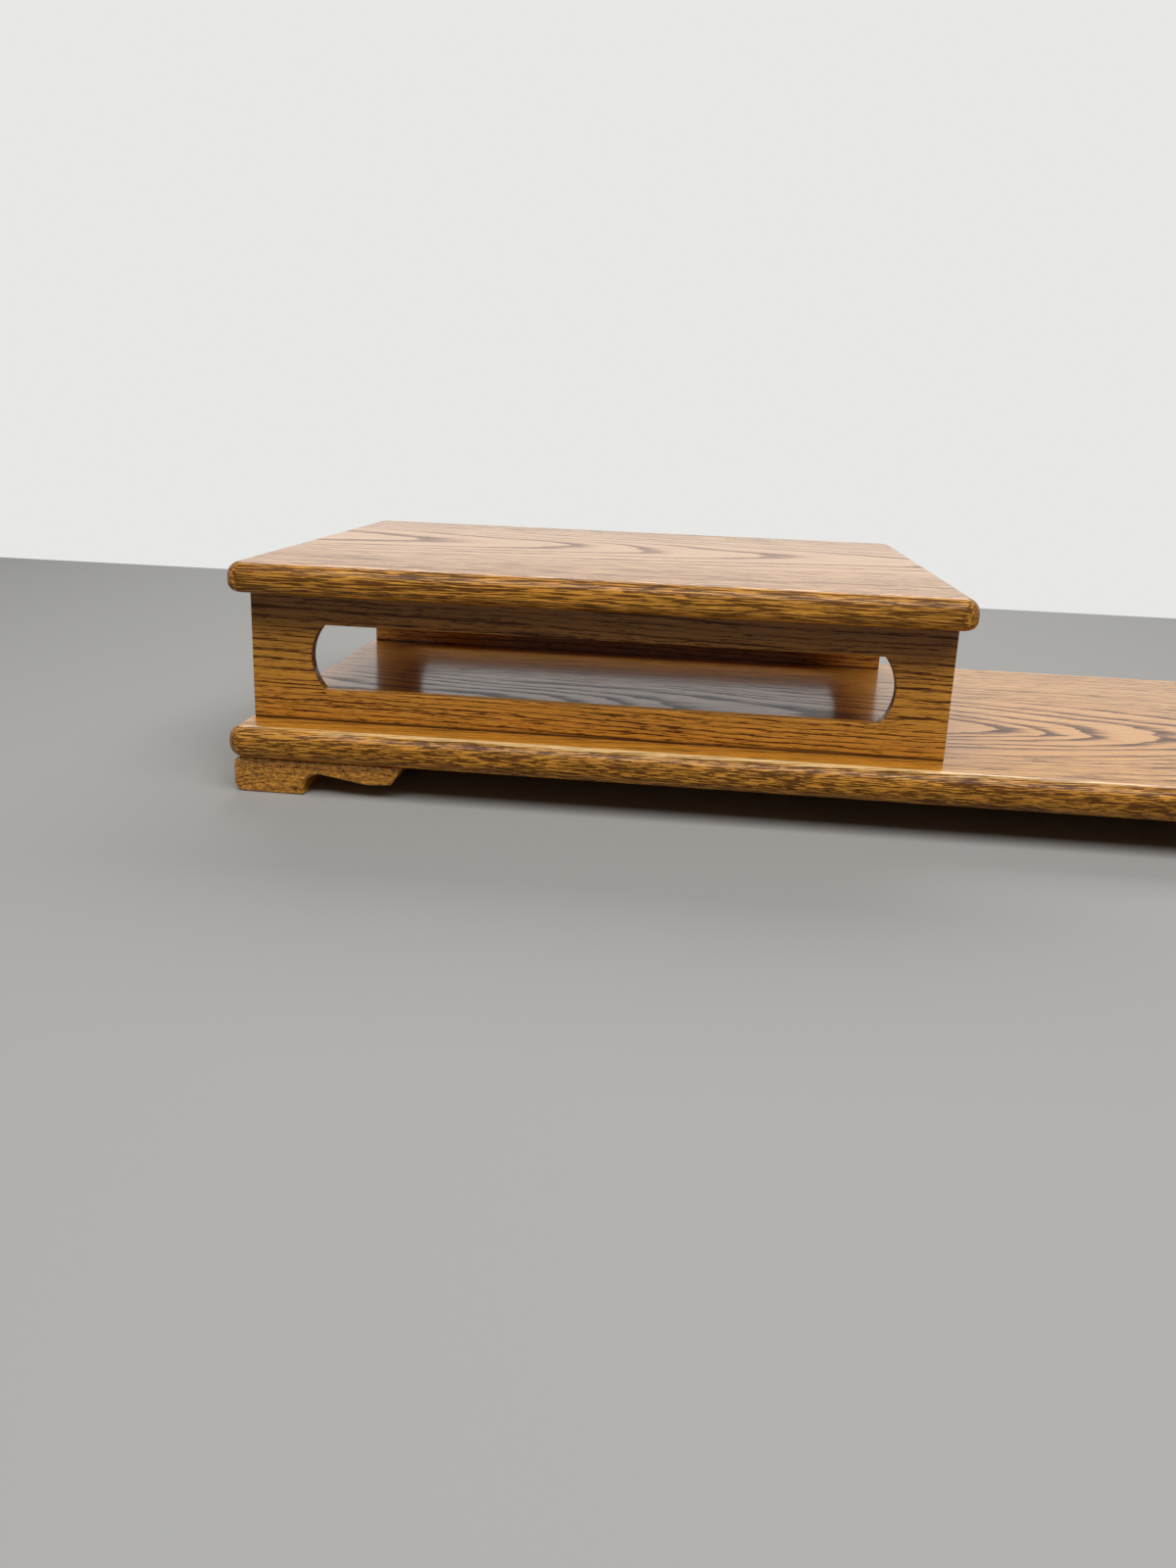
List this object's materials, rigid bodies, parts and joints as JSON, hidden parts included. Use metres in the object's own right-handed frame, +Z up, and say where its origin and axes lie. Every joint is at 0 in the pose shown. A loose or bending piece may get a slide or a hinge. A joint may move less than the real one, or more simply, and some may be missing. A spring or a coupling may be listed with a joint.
{
  "type": "two-tier display stand",
  "caption": "Low varnished wooden display stand: a long base board on scroll-cut runners, with a raised board on two slotted panels at its left end.",
  "frame": {"origin": "on the floor, under the middle of the base board", "axes": "+X along the base board, with the raised tier at the -X end; -Y is the front; +Z up"},
  "size_m": [0.762, 0.294, 0.1335],
  "materials": {
    "board_wood": "gloss varnish over ring-porous hardwood, plain sawn",
    "panel_wood": "gloss varnish over ring-porous hardwood, straight grain",
    "runner_wood": "gloss varnish over ring-porous hardwood, end grain to the front",
    "screw_steel": "zinc plated"
  },
  "bodies": {
    "root": {"base_board": "board_wood", "top_board": "board_wood", "front_panel": "panel_wood", "rear_panel": "panel_wood", "left_runner": "runner_wood", "right_runner": "runner_wood", "runner_screws": "screw_steel"}
  },
  "joints": []
}
